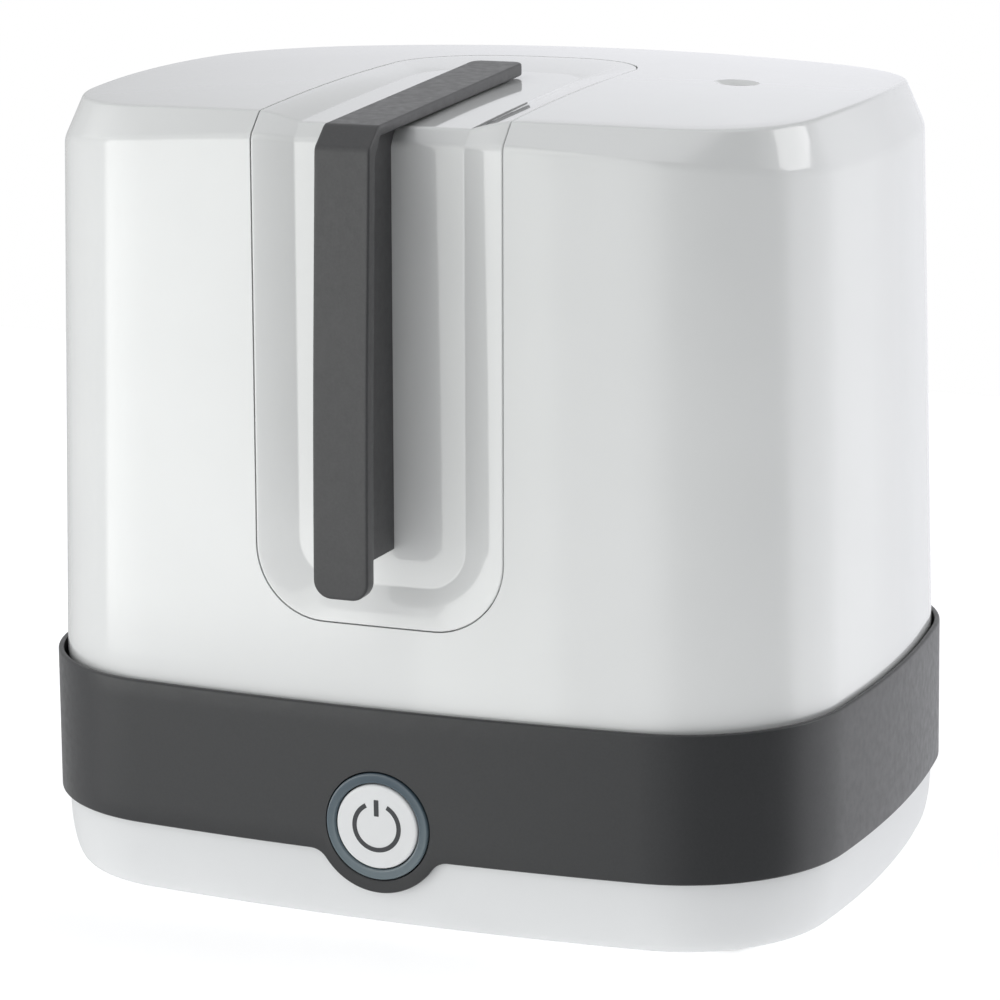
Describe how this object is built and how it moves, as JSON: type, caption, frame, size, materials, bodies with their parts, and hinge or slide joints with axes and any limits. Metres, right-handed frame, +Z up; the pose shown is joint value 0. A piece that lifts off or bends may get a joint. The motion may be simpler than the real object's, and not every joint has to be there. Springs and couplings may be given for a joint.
{
  "type": "steam steriliser",
  "caption": "Electric steam steriliser for feeding bottles: rounded white hood with an L-shaped grip, grey band with a lit round button, heated base, bottle basket and tray.",
  "frame": {"origin": "bottom centre of the bounding box, on the surface that the feet stand on", "axes": "+X to the right seen from the front, +Y to the back, +Z up"},
  "size_m": [0.2908, 0.2444, 0.2748],
  "materials": {
    "white_shell": "gloss moulded white",
    "grey_band": "satin moulded dark grey",
    "grey_grip": "satin moulded dark grey, fine grain",
    "grey_plastic": "matt moulded light grey",
    "black_plastic": "matt black",
    "rubber": "matt",
    "steel": "brushed stainless",
    "aluminium": "satin",
    "light_lens": "translucent tinted lens",
    "circuit_board": "solder-mask green",
    "relay_case": "moulded blue",
    "wire_sheath": "silicone sheath"
  },
  "bodies": {
    "root": {"base_shell": "white_shell", "bottom_cover": "grey_plastic", "base_band": "grey_band", "base_deck": "white_shell", "foot_1": "rubber", "foot_2": "rubber", "foot_3": "rubber", "foot_4": "rubber", "cover_screw_1": "steel", "cover_screw_2": "steel", "cover_screw_3": "steel", "cover_screw_4": "steel", "cord_bushing": "rubber", "heater_plate": "steel", "heater_gasket": "rubber", "heating_element": "steel", "heater_bracket": "aluminium", "bracket_nut_1": "steel", "bracket_nut_2": "steel", "bracket_nut_3": "steel", "thermostat": "aluminium", "thermal_fuse": "steel", "light_ring": "light_lens", "button_housing": "black_plastic", "control_board": "circuit_board", "switch_body": "black_plastic", "indicator_1": "light_lens", "indicator_2": "light_lens", "indicator_3": "light_lens", "indicator_4": "light_lens", "board_screw_1": "steel", "board_screw_2": "steel", "mains_board": "circuit_board", "relay": "relay_case", "filter_capacitor": "black_plastic", "terminal_block": "grey_plastic", "mains_screw_1": "steel", "mains_screw_2": "steel", "heater_lead_1": "wire_sheath", "heater_lead_2": "wire_sheath", "board_lead": "wire_sheath"},
    "hood": {"hood_shell": "white_shell", "handle_panel": "white_shell", "handle_grip": "grey_grip", "handle_screw_1": "steel", "handle_screw_2": "steel", "handle_screw_3": "steel", "handle_screw_4": "steel"},
    "basket": {"bottle_basket": "grey_plastic", "bottle_divider": "grey_plastic", "tray_post": "grey_plastic"},
    "tray": {"accessory_tray": "grey_plastic", "tray_knob": "grey_grip"},
    "button": {"power_button": "white_shell", "switch_plunger": "grey_plastic"}
  },
  "joints": [
    {"name": "hood_lift", "type": "slide", "parent": "root", "child": "hood", "axis": [0, 0, 1], "range_m": [0, 0.45]},
    {"name": "basket_lift", "type": "slide", "parent": "root", "child": "basket", "axis": [0, 0, 1], "range_m": [0, 0.16]},
    {"name": "tray_lift", "type": "slide", "parent": "basket", "child": "tray", "axis": [0, 0, 1], "range_m": [0, 0.092]},
    {"name": "button_press", "type": "slide", "parent": "root", "child": "button", "axis": [0, 1, 0], "range_m": [0, 0.0008], "stiffness_N_per_m": 500, "springref_m": -0.002}
  ],
  "couplings": [
    {"joint": "basket_lift", "follows": "hood_lift", "ratio": 0.35},
    {"joint": "tray_lift", "follows": "hood_lift", "ratio": 0.2}
  ]
}
